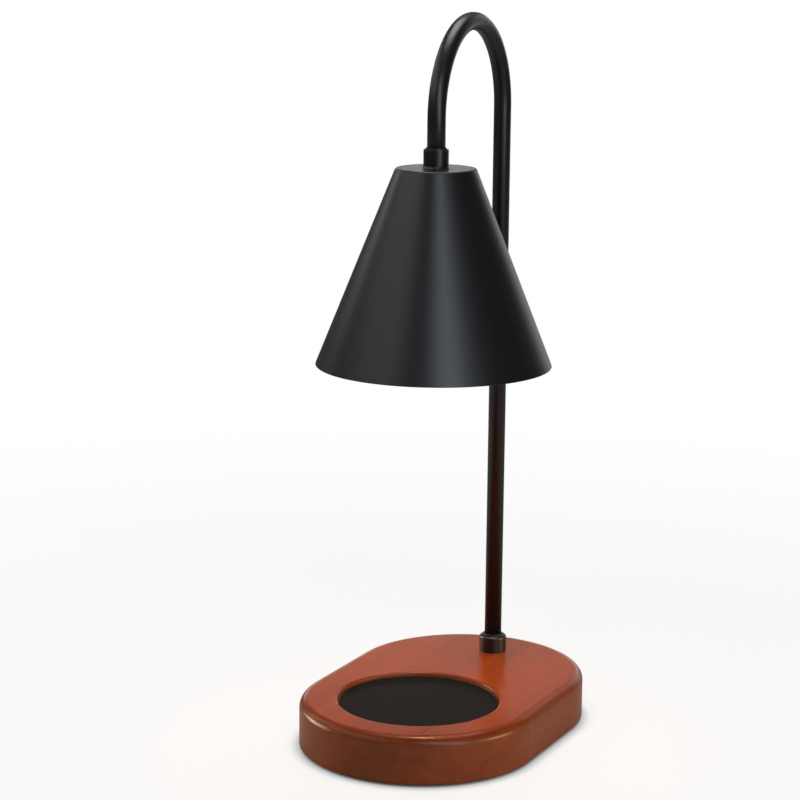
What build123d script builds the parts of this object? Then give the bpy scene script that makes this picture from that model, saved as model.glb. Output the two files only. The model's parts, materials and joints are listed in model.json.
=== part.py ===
from build123d import *
import os
from math import asin, cos, degrees, radians, sin, sqrt, tan

# Candle warmer lamp, in millimetres. The origin is the middle of the underside that the lamp
# stands on, +Z is up, and the base is long in Y with the pole at its +Y end. The arm hangs its
# shade over the candle seat, turns on a swivel under the pole, and the bulb twists in its holder.

# Base
base_width = 137.0
base_thickness = 27.0
base_top_round = 5.5
base_bottom_round = 1.0
pole_inset = 31.5            # pole axis to the rear end of the base
seat_diameter = 92.0         # wall of the candle seat
seat_depth = 3.0
seat_margin = 20.5           # seat wall to the front end of the base
seat_lip_round = 1.4
seat_floor_round = 0.9
mat_thickness = 1.0
mat_edge_round = 0.4
pad_thickness = 1.2
pad_inset = 5.0
cover_thickness = 1.5
cover_inset = 9.0
cover_gap = 0.25
cover_screw_spread = 92.0    # across the base
cover_screw_spacing = 100.0  # along the base
cover_screw_diameter = 3.4
cover_screw_head = 6.2
cover_screw_length = 12.0

# Arm
arm_reach = 101.0            # pole axis to shade axis
arm_height = 411.0           # highest point of the bend
arm_drop = 26.0              # straight tube between the bend and the shade's top
rest_swing = 3.8             # how far the arm stands off the base's long axis
swing_limit = 90.0           # swing each way from the base's long axis
tube_diameter = 10.0
tube_wall = 1.0
bore_gap = 0.05              # radial room between the tube and what it passes through
running_play = 0.05          # axial room of the swivel

# Collars on the tube
base_collar_diameter = 16.0
base_collar_height = 11.0
base_collar_round = 1.6
shade_collar_diameter = 13.8
shade_collar_height = 11.0
shade_collar_round = 0.4
shade_collar_flare = 0.5
collar_neck_width = 0.8      # wall of the thin neck on top of a collar
collar_neck_height = 0.9
collar_neck_round = 0.3
collar_screw_diameter = 3.0
collar_screw_sink = 0.3
collar_screw_socket = 1.5    # across the flats
collar_socket_depth = 1.2

# Swivel under the pole
bush_diameter = 13.0
bush_flange_diameter = 15.6
bush_flange_height = 1.0
bush_nut_width = 18.0
bush_nut_height = 2.5
stop_plate_diameter = 32.0
stop_plate_thickness = 1.2
stop_pin_diameter = 3.0
stop_pin_circle = 25.6
stop_washer_diameter = 30.0
stop_washer_thickness = 1.2
stop_gap = 0.2
thrust_washer_diameter = 17.0
thrust_washer_thickness = 1.0
spring_washer_diameter = 16.0
spring_washer_thickness = 0.8
lock_nut_width = 16.0
lock_nut_height = 4.0
tube_tail = 0.7              # tube end beyond a nut
wire_room = 4.8              # height left for the leads under the tube

# Wiring
pocket_radius = 20.0
wire_diameter = 2.2
wire_offset = 1.4
wire_gap = 0.5               # between the ends of the turning and the fixed leads
lead_gap = 0.4               # leads above the cover plate
lead_first_bend = 8.0        # from the pole axis
lead_rise_foot = 16.0        # from the middle of the terminal block
lead_rise_head = 13.0
block_length = 20.0
block_depth = 17.0
block_height = 12.0
block_distance = 34.0        # pole axis to the middle of the terminal block
block_end_room = 8.0
block_screw_bite = 4.5
terminal_screw_offset = 4.0  # from the middle of the terminal block
terminal_screw_sink = 1.0
terminal_pitch = 10.0
terminal_bore = 3.4
terminal_screw_diameter = 3.6
cord_rise = 10.8             # underside of the wood to the cord's axis
cord_bore = 6.6
cord_bush_diameter = 10.0
cord_flange_diameter = 14.0
cord_flange_height = 2.4
spot_face_depth = 1.0

# Shade
shade_height = 108.0
shade_rim_diameter = 130.0
shade_top_diameter = 44.0
shade_wall = 1.0
shade_top_round = 1.2

# Lampholder
shade_washer_diameter = 20.0
shade_washer_thickness = 1.0
bracket_thickness = 1.2
bracket_width = 16.0
bracket_span = 19.0          # between the legs
bracket_height = 14.3        # ceramic to the underside of the bridge
bracket_foot = 7.5
bracket_bend = 1.5
bracket_nut_width = 14.0
bracket_nut_height = 3.0
holder_length = 36.0
holder_width = 24.0
holder_height = 13.0
holder_round = 1.2
holder_face_thickness = 3.5
holder_chamber_height = 6.0
holder_chamber_diameter = 18.0
holder_screw_pitch = 27.0
holder_screw_diameter = 3.0
holder_screw_well = 3.0
holder_screw_tail = 1.5

# Bulb, GU10 cap
pin_pitch = 10.0
pin_stem_diameter = 3.2
pin_head_diameter = 5.0
pin_head_height = 2.2
twist_angle = 40.0
socket_gap = 0.2
keyhole_gap = 0.4
slot_gap = 0.35
cap_diameter = 24.0
cap_height = 12.0
bulb_diameter = 50.0
bulb_length = 46.8           # holder face to the front of the bulb
bulb_lip_height = 3.6
bulb_glass_height = 2.4      # inner face of the front glass above the lip's edge
bulb_glass = 1.6
capsule_diameter = 9.2
capsule_length = 19.0

# Heights, from the table up
base_bottom = pad_thickness
base_top = base_bottom + base_thickness
cover_top = base_bottom + cover_thickness
tube_foot = cover_top + wire_room
lock_nut_bottom = tube_foot + tube_tail
stop_washer_bottom = lock_nut_bottom + lock_nut_height
spring_washer_bottom = stop_washer_bottom + stop_washer_thickness
thrust_washer_bottom = spring_washer_bottom + spring_washer_thickness
bush_foot = thrust_washer_bottom + thrust_washer_thickness + running_play
bush_nut_bottom = bush_foot + tube_tail
stop_plate_bottom = bush_nut_bottom + bush_nut_height
pocket_ceiling = stop_plate_bottom + stop_plate_thickness
bend_radius = arm_reach / 2
arm_top = arm_height - tube_diameter / 2
shade_top = arm_top - bend_radius - arm_drop
shade_rim_height = shade_top - shade_height
bridge_top = shade_top - shade_wall - shade_washer_thickness
bridge_bottom = bridge_top - bracket_thickness
bracket_nut_bottom = bridge_bottom - bracket_nut_height
tube_end = bracket_nut_bottom - tube_tail
holder_top = bridge_bottom - bracket_height
holder_face = holder_top - holder_height
bulb_seat = holder_face - socket_gap
bulb_front = holder_face - bulb_length

# Places in plan
base_length = seat_margin + seat_diameter / 2 + arm_reach + pole_inset
pole_y = base_length / 2 - pole_inset
seat_y = pole_y - arm_reach
block_y = pole_y - block_distance
pocket_front = block_y - block_depth / 2 - block_end_room
pocket_rear = pole_y + pocket_radius
cord_height = base_bottom + cord_rise
cover_screw_places = [(x * cover_screw_spread / 2, y * cover_screw_spacing / 2)
                      for x in (-1, 1) for y in (-1, 1)]

# The pole's plane stands at the pole with its Y pointing away from the shade, turned by the
# swing at rest. The shade's plane is the same, moved by the reach.
swing = radians(rest_swing)
pole_plane = Plane(origin=(0, pole_y, 0), x_dir=(cos(swing), sin(swing), 0))
shade_plane = Plane(origin=pole_plane.from_local_coords((0, -arm_reach, 0)), x_dir=pole_plane.x_dir)
base_pole_plane = Plane(origin=(0, pole_y, 0))
bore_diameter = tube_diameter + 2 * bore_gap

os.makedirs("parts", exist_ok=True)


def section(plane):
    """Upright plane through a plane's origin: its X is radial and its Y is height."""
    return Plane(origin=plane.origin, x_dir=plane.x_dir, z_dir=-plane.y_dir)


def axis_of(plane):
    return Axis(plane.origin, plane.z_dir)


def washer(seat, thickness, outer, bore):
    """Flat ring that lies on the plane seat."""
    with BuildPart() as ring:
        with BuildSketch(seat):
            Circle(outer / 2)
            Circle(bore / 2, mode=Mode.SUBTRACT)
        extrude(amount=thickness)
    return ring


def hex_nut(seat, height, width, bore):
    """Hexagon nut whose corners are turned down on both faces."""
    corner = 0.06 * width
    with BuildPart() as nut:
        with BuildSketch(seat):
            RegularPolygon(width / 2, 6, major_radius=False)
            Circle(bore / 2, mode=Mode.SUBTRACT)
        extrude(amount=height)
        with BuildSketch(seat):
            Circle(width / 2 + corner)
        extrude(amount=height, mode=Mode.INTERSECT)
    return nut


def turned_collar(plane, bottom, height, diameter, shoulder_round, flare):
    """Turned ring on the tube, with a rounded shoulder, a thin neck and a flare at its foot."""
    bore, outer = bore_diameter / 2, diameter / 2
    neck = bore + collar_neck_width
    shoulder, top = bottom + height - collar_neck_height, bottom + height
    with BuildPart() as ring:
        with BuildSketch(section(plane)) as profile:
            with BuildLine():
                Polyline((bore, bottom), (outer + flare, bottom), (outer, bottom + 2 * flare + 0.1),
                         (outer, shoulder), (neck, shoulder), (neck, top), (bore, top),
                         close=True)
            make_face()
            fillet(profile.vertices().sort_by_distance((outer, shoulder))[0],
                   min(shoulder_round, 0.9 * (outer - neck)))
            fillet(profile.vertices().sort_by_distance((neck, top))[0], collar_neck_round)
        revolve(axis=axis_of(plane))
    return ring.part


def pan_screw(shank, length, head, head_height):
    """Pan head screw that hangs from the origin, with its shank up and its head below."""
    with BuildPart() as screw:
        with BuildSketch():
            Circle(shank / 2)
        extrude(amount=length)
        with BuildSketch():
            Circle(head / 2)
        extrude(amount=-head_height)
        fillet(screw.edges().sort_by(Axis.Z)[0], 0.35 * head_height)
        cross_slot(Plane.XY.offset(-head_height), 0.6 * head, 0.14 * head, 0.5 * head_height)
    return screw.part


def countersunk_screw(shank, length, head):
    """Countersunk screw with its head's face on the origin and its shank up."""
    with BuildPart() as screw:
        with BuildSketch(Plane.XZ):
            with BuildLine():
                Polyline((0, 0), (head / 2, 0), (shank / 2, (head - shank) / 2),
                         (shank / 2, length - shank / 2), (0, length), close=True)
            make_face()
        revolve(axis=Axis.Z)
        cross_slot(Plane.XY, 0.6 * head, 0.14 * head, 0.2 * head)
    return screw.part


def cross_slot(face, length, width, depth):
    """Cross recess, cut up from a screw head's lower face."""
    with BuildSketch(face) as cross:
        Rectangle(length, width)
        Rectangle(width, length)
    extrude(cross.sketch, amount=depth, mode=Mode.SUBTRACT)


def rounded_route(points, radii):
    """Straight runs through the points, joined by tangent arcs, one radius to each corner."""
    with BuildLine() as route:
        start = points[0]
        for before, corner, after, radius in zip(points, points[1:], points[2:], radii):
            arrive = (corner - before).normalized()
            leave = (after - corner).normalized()
            half_turn = radians(arrive.get_angle(leave)) / 2
            cut = radius * tan(half_turn)
            inside = (leave - arrive).normalized() * (radius / cos(half_turn) - radius)
            if (corner - arrive * cut - start).length > 1e-6:
                Line(start, corner - arrive * cut)
            ThreePointArc(corner - arrive * cut, corner + inside, corner + leave * cut)
            start = corner + leave * cut
        Line(start, points[-1])
    return route


# ---------------------------------------------------------------- wood base
# A stadium block. The candle seat is a shallow round recess with a soft lip, the pocket below
# holds the swivel and the wiring, and a rebate takes the cover plate flush.
with BuildPart() as wood_base:
    with BuildSketch(Plane.XY.offset(base_bottom)):
        SlotOverall(base_length, base_width, rotation=90)
    extrude(amount=base_thickness)
    fillet(wood_base.faces().sort_by(Axis.Z)[-1].edges(), base_top_round)
    fillet(wood_base.faces().sort_by(Axis.Z)[0].edges(), base_bottom_round)

    with BuildSketch(Plane((0, seat_y, base_top))):
        Circle(seat_diameter / 2)
    extrude(amount=-seat_depth, mode=Mode.SUBTRACT)
    seat_rims = (
        wood_base.edges()
        .filter_by(GeomType.CIRCLE)
        .filter_by(lambda edge: abs(edge.radius - seat_diameter / 2) < 0.01)
        .sort_by(Axis.Z)
    )
    fillet(seat_rims[-1], seat_lip_round)
    fillet(
        wood_base.faces().filter_by(Axis.Z).filter_by(
            lambda face: abs(face.center().Z - base_top + seat_depth) < 0.01).edges(),
        seat_floor_round,
    )

    with BuildSketch(Plane.XY.offset(base_bottom)):
        SlotOverall(base_length - 2 * cover_inset + 2 * cover_gap,
                    base_width - 2 * cover_inset + 2 * cover_gap, rotation=90)
    extrude(amount=cover_thickness, mode=Mode.SUBTRACT)
    with BuildSketch(Plane((0, (pocket_front + pocket_rear) / 2, cover_top))):
        SlotOverall(pocket_rear - pocket_front, 2 * pocket_radius, rotation=90)
    extrude(amount=pocket_ceiling - cover_top, mode=Mode.SUBTRACT)

    with BuildSketch(base_pole_plane.offset(base_top)):
        Circle(bush_flange_diameter / 2 + bore_gap)
    extrude(amount=-bush_flange_height, mode=Mode.SUBTRACT)
    with BuildSketch(base_pole_plane.offset(base_top)):
        Circle(bush_diameter / 2 + bore_gap)
    extrude(amount=pocket_ceiling - base_top, mode=Mode.SUBTRACT)

    with BuildSketch(Plane((0, base_length / 2, cord_height), z_dir=(0, 1, 0))):
        Circle(cord_flange_diameter / 2 + 0.5)
    extrude(amount=-spot_face_depth, mode=Mode.SUBTRACT)
    with BuildSketch(Plane((0, base_length / 2, cord_height), z_dir=(0, 1, 0))):
        Circle(cord_bush_diameter / 2 + bore_gap)
    extrude(amount=pocket_rear - base_length / 2 - 3.0, mode=Mode.SUBTRACT)

    with BuildSketch(Plane.XY.offset(cover_top)):
        with Locations(*cover_screw_places):
            Circle(cover_screw_diameter / 2 + bore_gap)
    extrude(amount=cover_screw_length - cover_thickness, mode=Mode.SUBTRACT)
    with BuildSketch(Plane.XY.offset(base_bottom)):
        with Locations(*cover_screw_places):
            Circle(cover_screw_head / 2 + bore_gap)
    extrude(amount=(cover_screw_head - cover_screw_diameter) / 2 + bore_gap, taper=45,
            mode=Mode.SUBTRACT)
    with BuildSketch(Plane((0, block_y, pocket_ceiling))):
        Circle(cover_screw_diameter / 2 + bore_gap)
    extrude(amount=block_screw_bite + bore_gap, mode=Mode.SUBTRACT)
wood_base.part.label = "wood_base"
export_step(wood_base.part, "parts/wood_base.step")

# ---------------------------------------------------------------- seat mat
# A soft round mat lies on the floor of the candle seat, inside the round at the wall's foot.
seat_floor = base_top - seat_depth
with BuildPart() as seat_mat:
    with BuildSketch(Plane((0, seat_y, seat_floor))):
        Circle(seat_diameter / 2 - seat_floor_round)
    extrude(amount=mat_thickness)
    fillet(seat_mat.faces().sort_by(Axis.Z)[-1].edges(), mat_edge_round)
seat_mat.part.label = "seat_mat"
export_step(seat_mat.part, "parts/seat_mat.step")

# ---------------------------------------------------------------- pad and cover
# The foam pad is what the lamp stands on. Its four holes leave the cover screws open.
with BuildPart() as base_pad:
    with BuildSketch():
        SlotOverall(base_length - 2 * pad_inset, base_width - 2 * pad_inset, rotation=90)
        with Locations(*cover_screw_places):
            Circle(cover_screw_head / 2 + 1.0, mode=Mode.SUBTRACT)
    extrude(amount=pad_thickness)
base_pad.part.label = "base_pad"
export_step(base_pad.part, "parts/base_pad.step")

with BuildPart() as cover_plate:
    with BuildSketch(Plane.XY.offset(base_bottom)):
        SlotOverall(base_length - 2 * cover_inset, base_width - 2 * cover_inset, rotation=90)
    extrude(amount=cover_thickness)
    with BuildSketch(Plane.XY.offset(base_bottom)):
        with Locations(*cover_screw_places):
            Circle(cover_screw_head / 2 + bore_gap)
    extrude(amount=cover_thickness, taper=45, mode=Mode.SUBTRACT)
    with BuildSketch(Plane.XY.offset(base_bottom)):
        with Locations(*cover_screw_places):
            Circle(cover_screw_diameter / 2 + bore_gap)
    extrude(amount=cover_thickness, mode=Mode.SUBTRACT)
cover_plate.part.label = "cover_plate"
export_step(cover_plate.part, "parts/cover_plate.step")

cover_screw = countersunk_screw(cover_screw_diameter, cover_screw_length, cover_screw_head)
with BuildPart() as cover_screws:
    with Locations(*[(x, y, base_bottom) for x, y in cover_screw_places]):
        add(cover_screw)
cover_screws.part.label = "cover_screws"
export_step(cover_screws.part, "parts/cover_screws.step")

# ---------------------------------------------------------------- swivel, fixed side
# The flanged bush is sunk flush in the deck and clamped from below by its nut, which also
# holds the stop plate. The stop pin hangs from the plate into the notch of the stop washer.
with BuildPart() as swivel_bush:
    with BuildSketch(base_pole_plane.offset(bush_foot)):
        Circle(bush_diameter / 2)
    extrude(amount=base_top - bush_foot)
    with BuildSketch(base_pole_plane.offset(base_top)):
        Circle(bush_flange_diameter / 2)
    extrude(amount=-bush_flange_height)
    with BuildSketch(base_pole_plane.offset(bush_foot)):
        Circle(bore_diameter / 2)
    extrude(amount=base_top - bush_foot, mode=Mode.SUBTRACT)
swivel_bush.part.label = "swivel_bush"
export_step(swivel_bush.part, "parts/swivel_bush.step")

bush_nut = hex_nut(base_pole_plane.offset(bush_nut_bottom), bush_nut_height, bush_nut_width,
                   bush_diameter + 2 * bore_gap)
bush_nut.part.label = "bush_nut"
export_step(bush_nut.part, "parts/bush_nut.step")

with BuildPart() as stop_plate:
    with BuildSketch(base_pole_plane.offset(stop_plate_bottom)):
        Circle(stop_plate_diameter / 2)
        Circle(bush_diameter / 2 + bore_gap, mode=Mode.SUBTRACT)
        with Locations((0, stop_pin_circle / 2)):
            Circle(stop_pin_diameter / 2 + bore_gap, mode=Mode.SUBTRACT)
    extrude(amount=stop_plate_thickness)
stop_plate.part.label = "stop_plate"
export_step(stop_plate.part, "parts/stop_plate.step")

with BuildPart() as stop_pin:
    with BuildSketch(base_pole_plane.offset(stop_washer_bottom - stop_gap)):
        with Locations((0, stop_pin_circle / 2)):
            Circle(stop_pin_diameter / 2)
    extrude(amount=pocket_ceiling - stop_washer_bottom + stop_gap)
stop_pin.part.label = "stop_pin"
export_step(stop_pin.part, "parts/stop_pin.step")

# ---------------------------------------------------------------- cord bush
# A moulded bush through the rear wall. Its flange sits in a spot face and its snap ring holds
# it from inside the pocket, clear of the pocket's round wall.
snap_height = 0.6
snap_length = 1.5
snap_radius = cord_bush_diameter / 2 + snap_height
snap_face = pole_y + sqrt(pocket_radius ** 2 - snap_radius ** 2) - 0.1
bush_inner = snap_face - snap_length
bush_outer = base_length / 2 - spot_face_depth
with BuildPart() as cord_bush:
    with BuildSketch(Plane.XY.offset(cord_height)):
        with BuildLine():
            Polyline((cord_bore / 2, bush_inner), (cord_bush_diameter / 2, bush_inner),
                     (snap_radius, snap_face), (cord_bush_diameter / 2, snap_face),
                     (cord_bush_diameter / 2, bush_outer),
                     (cord_flange_diameter / 2, bush_outer),
                     (cord_flange_diameter / 2, bush_outer + 0.6 * cord_flange_height),
                     (cord_bore / 2 + 1.6, bush_outer + cord_flange_height),
                     (cord_bore / 2, bush_outer + cord_flange_height), close=True)
        make_face()
    revolve(axis=Axis((0, 0, cord_height), (0, 1, 0)))
cord_bush.part.label = "cord_bush"
export_step(cord_bush.part, "parts/cord_bush.step")

# ---------------------------------------------------------------- terminal block
# Two-pole block on the pocket's ceiling: bores run through it for the leads, and its screws
# are reached from below.
terminal_height = pocket_ceiling - 0.5 * block_height
terminal_places = [(x * terminal_pitch / 2, block_y + y * terminal_screw_offset)
                   for x in (-1, 1) for y in (-1, 1)]
block_bottom = pocket_ceiling - block_height
with BuildPart() as terminal_block:
    with BuildSketch(Plane((0, block_y, block_bottom))):
        RectangleRounded(block_length, block_depth, 1.5)
    extrude(amount=block_height)
    with BuildSketch(Plane((0, block_y - block_depth / 2, terminal_height), (1, 0, 0), (0, 1, 0))):
        with Locations((-terminal_pitch / 2, 0), (terminal_pitch / 2, 0)):
            Circle(terminal_bore / 2)
    extrude(amount=block_depth, mode=Mode.SUBTRACT)
    with BuildSketch(Plane.XY.offset(block_bottom)):
        with Locations(*terminal_places):
            Circle(terminal_screw_diameter / 2 + bore_gap)
    extrude(amount=terminal_height - block_bottom, mode=Mode.SUBTRACT)
    with BuildSketch(Plane((0, block_y, block_bottom))):
        Circle(cover_screw_head / 2 - 0.5)
    extrude(amount=0.4 * block_height, mode=Mode.SUBTRACT)
    with BuildSketch(Plane((0, block_y, block_bottom))):
        Circle(cover_screw_diameter / 2 + bore_gap)
    extrude(amount=block_height, mode=Mode.SUBTRACT)
terminal_block.part.label = "terminal_block"
export_step(terminal_block.part, "parts/terminal_block.step")

terminal_screw_foot = block_bottom + terminal_screw_sink
terminal_screw_length = terminal_height - wire_diameter / 2 - terminal_screw_foot
with BuildPart() as terminal_screws:
    with BuildSketch(Plane.XY.offset(terminal_screw_foot)):
        with Locations(*terminal_places):
            Circle(terminal_screw_diameter / 2)
    extrude(amount=terminal_screw_length)
    with BuildSketch(Plane.XY.offset(terminal_screw_foot)):
        with Locations(*terminal_places):
            Rectangle(0.8 * terminal_screw_diameter, 0.14 * terminal_screw_diameter)
    extrude(amount=0.22 * terminal_screw_diameter, mode=Mode.SUBTRACT)
terminal_screws.part.label = "terminal_screws"
export_step(terminal_screws.part, "parts/terminal_screws.step")

with BuildPart() as block_screw:
    with Locations((0, block_y, block_bottom + 0.4 * block_height)):
        add(pan_screw(cover_screw_diameter, 0.6 * block_height + block_screw_bite,
                      cover_screw_head - 1.2, 0.6 * cover_screw_diameter))
block_screw.part.label = "block_screw"
export_step(block_screw.part, "parts/block_screw.step")

# ---------------------------------------------------------------- base leads
# Each lead starts under the foot of the pole, runs below the swivel and rises to its terminal.
guard_lip = 0.8
lead_height = cover_top + wire_diameter / 2 + lead_gap
lead_top = tube_foot - guard_lip - wire_gap
with BuildPart() as base_leads:
    for side in (-1, 1):
        near, far = side * wire_offset, side * terminal_pitch / 2
        lead = rounded_route(
            [Vector(near, pole_y, lead_top), Vector(near, pole_y, lead_height),
             Vector(near, pole_y - lead_first_bend, lead_height),
             Vector(far, block_y + lead_rise_foot, lead_height),
             Vector(far, block_y + lead_rise_head, terminal_height),
             Vector(far, block_y, terminal_height)],
            [0.8 * (lead_top - lead_height), 2.7 * wire_diameter, 1.8 * wire_diameter,
             1.8 * wire_diameter])
        with BuildSketch(Plane((near, pole_y, lead_top))):
            Circle(wire_diameter / 2)
        sweep(path=lead.wire())
base_leads.part.label = "base_leads"
export_step(base_leads.part, "parts/base_leads.step")

# ---------------------------------------------------------------- arm tube
# Pole and gooseneck are one tube: up from the swivel, over a half-round bend and down through
# the shade's flat top. The paths are in the arm's own upright plane.
def along_arm(x, y, z):
    return pole_plane.from_local_coords((x, y, z))


arm_path = rounded_route(
    [along_arm(0, 0, tube_foot), along_arm(0, 0, arm_top),
     along_arm(0, -arm_reach, arm_top), along_arm(0, -arm_reach, tube_end)],
    [bend_radius, bend_radius])
with BuildPart() as arm_tube:
    with BuildSketch(pole_plane.offset(tube_foot)):
        Circle(tube_diameter / 2)
        Circle(tube_diameter / 2 - tube_wall, mode=Mode.SUBTRACT)
    sweep(path=arm_path.wire())
arm_tube.part.label = "arm_tube"
export_step(arm_tube.part, "parts/arm_tube.step")

# ---------------------------------------------------------------- collars
# The base collar is the shoulder that carries the arm on the bush. A set screw at its back
# holds it on the tube.
base_collar_bottom = base_top + running_play
screw_plane = Plane(origin=pole_plane.from_local_coords(
    (0, base_collar_diameter / 2, base_collar_bottom + base_collar_height / 2)),
    z_dir=pole_plane.y_dir)
screw_depth = (base_collar_diameter - bore_diameter) / 2
with BuildPart() as base_collar:
    add(turned_collar(pole_plane, base_collar_bottom, base_collar_height,
                      base_collar_diameter, base_collar_round, 0))
    with BuildSketch(screw_plane):
        Circle(collar_screw_diameter / 2 + bore_gap)
    extrude(amount=-screw_depth - bore_gap, mode=Mode.SUBTRACT)
base_collar.part.label = "base_collar"
export_step(base_collar.part, "parts/base_collar.step")

with BuildPart() as collar_screw:
    with BuildSketch(screw_plane.offset(-collar_screw_sink)):
        Circle(collar_screw_diameter / 2)
    extrude(amount=collar_screw_sink + bore_gap - screw_depth)
    with BuildSketch(screw_plane.offset(-collar_screw_sink)):
        RegularPolygon(collar_screw_socket / 2, 6, major_radius=False)
    extrude(amount=-collar_socket_depth, mode=Mode.SUBTRACT)
collar_screw.part.label = "collar_screw"
export_step(collar_screw.part, "parts/collar_screw.step")

with BuildPart() as shade_collar:
    add(turned_collar(shade_plane, shade_top, shade_collar_height,
                      shade_collar_diameter, shade_collar_round, shade_collar_flare))
shade_collar.part.label = "shade_collar"
export_step(shade_collar.part, "parts/shade_collar.step")

# ---------------------------------------------------------------- swivel, turning side
# The stack that the lock nut draws up against the foot of the bush. The stop washer's notch
# is wide enough for the pin over the whole swing.
thrust_washer = washer(pole_plane.offset(thrust_washer_bottom), thrust_washer_thickness,
                       thrust_washer_diameter, bore_diameter)
thrust_washer.part.label = "thrust_washer"
export_step(thrust_washer.part, "parts/thrust_washer.step")

with BuildPart() as spring_washer:
    add(washer(pole_plane.offset(spring_washer_bottom), spring_washer_thickness,
               spring_washer_diameter, bore_diameter).part)
    with BuildSketch(pole_plane.offset(spring_washer_bottom)):
        with Locations((spring_washer_diameter / 2, 0)):
            Rectangle(spring_washer_diameter, 0.8, rotation=12)
        Circle(tube_diameter / 4, mode=Mode.SUBTRACT)
    extrude(amount=spring_washer_thickness, mode=Mode.SUBTRACT)
spring_washer.part.label = "spring_washer"
export_step(spring_washer.part, "parts/spring_washer.step")

notch_radius = stop_pin_circle / 2 - stop_pin_diameter / 2 - stop_gap
pin_half_angle = degrees(asin((stop_pin_diameter / 2 + stop_gap) / (stop_pin_circle / 2)))
notch_half_angle = swing_limit + pin_half_angle
with BuildPart() as stop_washer:
    with BuildSketch(pole_plane.offset(stop_washer_bottom)):
        Circle(stop_washer_diameter / 2)
        Circle(bore_diameter / 2, mode=Mode.SUBTRACT)
        with BuildLine():
            first = CenterArc((0, 0), notch_radius, 90 - notch_half_angle, 2 * notch_half_angle)
            second = CenterArc((0, 0), stop_washer_diameter / 2 + 1, 90 - notch_half_angle,
                               2 * notch_half_angle)
            Line(first @ 0, second @ 0)
            Line(first @ 1, second @ 1)
        make_face(mode=Mode.SUBTRACT)
    extrude(amount=stop_washer_thickness)
stop_washer.part.label = "stop_washer"
export_step(stop_washer.part, "parts/stop_washer.step")

lock_nut = hex_nut(pole_plane.offset(lock_nut_bottom), lock_nut_height, lock_nut_width,
                   bore_diameter)
lock_nut.part.label = "lock_nut"
export_step(lock_nut.part, "parts/lock_nut.step")

# ---------------------------------------------------------------- tube grommets
# Edge guards that plug both tube ends, so that the leads don't rub on bare steel.
guard_depth = 4.0
guard_bore = 2 * (wire_offset + wire_diameter / 2) + 0.6
with BuildPart() as tube_grommets:
    for seat, inward in ((pole_plane.offset(tube_foot), 1), (shade_plane.offset(tube_end), 1)):
        with BuildSketch(seat):
            Circle(tube_diameter / 2 - tube_wall - bore_gap)
            Circle(guard_bore / 2, mode=Mode.SUBTRACT)
        extrude(amount=inward * guard_depth)
        with BuildSketch(seat):
            Circle(tube_diameter / 2 - 0.1)
            Circle(guard_bore / 2, mode=Mode.SUBTRACT)
        extrude(amount=-inward * guard_lip)
tube_grommets.part.label = "tube_grommets"
export_step(tube_grommets.part, "parts/tube_grommets.step")

# ---------------------------------------------------------------- shade
# Spun cone with a flat top and an open mouth, one even wall throughout.
with BuildPart() as shade:
    with BuildSketch(section(shade_plane)):
        with BuildLine():
            Polyline((0, shade_rim_height), (shade_rim_diameter / 2, shade_rim_height),
                     (shade_top_diameter / 2, shade_top), (0, shade_top), close=True)
        make_face()
    revolve(axis=axis_of(shade_plane))
    fillet(shade.faces().sort_by(Axis.Z)[-1].edges(), shade_top_round)
    offset(amount=-shade_wall, openings=shade.faces().sort_by(Axis.Z)[0])
    with BuildSketch(shade_plane.offset(shade_top)):
        Circle(bore_diameter / 2)
    extrude(amount=-2 * shade_wall, mode=Mode.SUBTRACT)
shade.part.label = "shade"
export_step(shade.part, "parts/shade.step")

# ---------------------------------------------------------------- lampholder carrier
# Washer, bridge and nut sit on the tube end under the shade's top. The bridge is one folded
# strap whose feet carry the ceramic holder.
shade_washer = washer(shade_plane.offset(bridge_top), shade_washer_thickness,
                      shade_washer_diameter, bore_diameter)
shade_washer.part.label = "shade_washer"
export_step(shade_washer.part, "parts/shade_washer.step")

foot_end = bracket_span / 2 + bracket_foot
side_section = Plane(origin=shade_plane.origin, x_dir=shade_plane.y_dir, z_dir=shade_plane.x_dir)
with BuildPart() as holder_bracket:
    with BuildSketch(side_section):
        with BuildLine():
            strap = FilletPolyline(
                (-foot_end, holder_top), (-bracket_span / 2, holder_top),
                (-bracket_span / 2, bridge_bottom), (bracket_span / 2, bridge_bottom),
                (bracket_span / 2, holder_top), (foot_end, holder_top), radius=bracket_bend)
            offset(strap, amount=bracket_thickness, side=Side.LEFT)
        make_face()
    extrude(amount=bracket_width / 2, both=True)
    with BuildSketch(shade_plane.offset(bridge_bottom)):
        Circle(bore_diameter / 2)
    extrude(amount=bracket_thickness, mode=Mode.SUBTRACT)
    with BuildSketch(shade_plane.offset(holder_top)):
        with Locations((0, -holder_screw_pitch / 2), (0, holder_screw_pitch / 2)):
            Circle(holder_screw_diameter / 2 + bore_gap)
    extrude(amount=bracket_thickness + holder_screw_tail, mode=Mode.SUBTRACT)
holder_bracket.part.label = "holder_bracket"
export_step(holder_bracket.part, "parts/holder_bracket.step")

bracket_nut = hex_nut(shade_plane.offset(bracket_nut_bottom), bracket_nut_height,
                      bracket_nut_width, bore_diameter)
bracket_nut.part.label = "bracket_nut"
export_step(bracket_nut.part, "parts/bracket_nut.step")

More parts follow.
